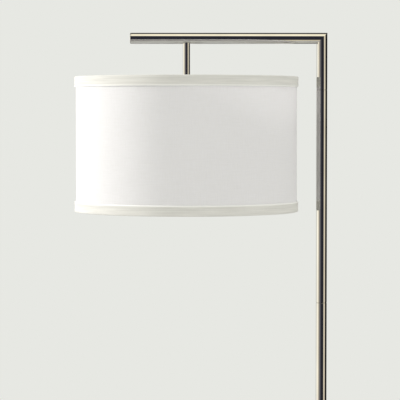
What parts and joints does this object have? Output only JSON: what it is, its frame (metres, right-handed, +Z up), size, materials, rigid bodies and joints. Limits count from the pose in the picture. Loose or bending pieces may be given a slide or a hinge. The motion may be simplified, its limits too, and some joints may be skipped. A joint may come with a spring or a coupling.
{
  "type": "floor lamp",
  "caption": "Floor lamp with a round weighted base, a tube pole mitred to a level arm, and a fabric drum shade on a drop stem.",
  "frame": {"origin": "on the floor under the pole's axis, at the centre of the base pad's underside", "axes": "+Z up along the pole, -X along the arm towards the shade, +Y to the back where the cord leaves"},
  "size_m": [0.5475, 0.381, 1.5755],
  "materials": {
    "polished_nickel": "mirror-polished nickel plate",
    "brass": "machined brass",
    "zinc_steel": "zinc-plated steel",
    "iron": "painted casting",
    "foam": "closed-cell foam",
    "black_plastic": "moulded, satin",
    "fibre": "pressed fibre",
    "bulb_metal": "rolled",
    "bulb_bead": "black glass bead",
    "bulb_housing": "moulded, satin",
    "bulb_diffuser": "frosted",
    "linen": "woven linen blend",
    "styrene": "extruded sheet",
    "linen_tape": "folded self trim",
    "white_wire": "powder-coated wire",
    "lead_jacket": "extruded jacket"
  },
  "bodies": {
    "lamp": {"arm_end_plug": "polished_nickel", "arm_tube": "polished_nickel", "base_cover": "polished_nickel", "base_flat_washer": "zinc_steel", "base_nipple": "brass", "base_nut": "zinc_steel", "base_pad": "foam", "base_spring_washer": "zinc_steel", "base_weight": "iron", "bulb_dome": "bulb_diffuser", "bulb_housing": "bulb_housing", "bulb_insulator": "bulb_bead", "bulb_screw_base": "bulb_metal", "bulb_tip_contact": "bulb_metal", "cap_set_screw": "zinc_steel", "centre_contact": "brass", "cord_bushing": "black_plastic", "insulating_sleeve": "fibre", "leg_tube": "polished_nickel", "pole_collar": "polished_nickel", "pole_section_1": "polished_nickel", "pole_section_2": "polished_nickel", "pole_section_3": "polished_nickel", "pole_section_4": "polished_nickel", "screw_shell": "brass", "seam_stud_1": "brass", "seam_stud_2": "brass", "seam_stud_3": "brass", "seam_stud_4": "brass", "shade_lock_nut": "polished_nickel", "socket_body": "black_plastic", "socket_cap": "polished_nickel", "socket_nipple": "brass", "socket_skirt": "polished_nickel", "stem_nipple": "brass", "stem_saddle_nut": "brass", "stem_tube": "polished_nickel", "supply_lead": "lead_jacket", "terminal_screws": "zinc_steel", "tube_insert_1": "brass", "tube_insert_2": "brass", "tube_insert_3": "brass", "tube_insert_4": "brass", "tube_insert_5": "brass", "tube_insert_6": "brass", "tube_insert_7": "brass", "tube_insert_8": "brass", "tube_insert_9": "brass"},
    "shade": {"shade_fabric": "linen", "shade_liner": "styrene", "top_tape": "linen_tape", "bottom_tape": "linen_tape", "top_wire_ring": "white_wire", "bottom_wire_ring": "white_wire", "fitter_ring": "white_wire", "shade_spoke_1": "white_wire", "shade_spoke_2": "white_wire", "shade_spoke_3": "white_wire"},
    "switch": {"switch_shaft": "zinc_steel", "switch_knob": "black_plastic"}
  },
  "joints": [
    {"name": "shade_turn", "type": "hinge", "parent": "lamp", "child": "shade", "pos_m": [-0.23, 0, 1.4874], "axis": [0, 0, 1], "continuous": true},
    {"name": "switch_turn", "type": "hinge", "parent": "lamp", "child": "switch", "pos_m": [-0.23, -0.02, 1.46177], "axis": [0, -1, 0], "continuous": true}
  ]
}
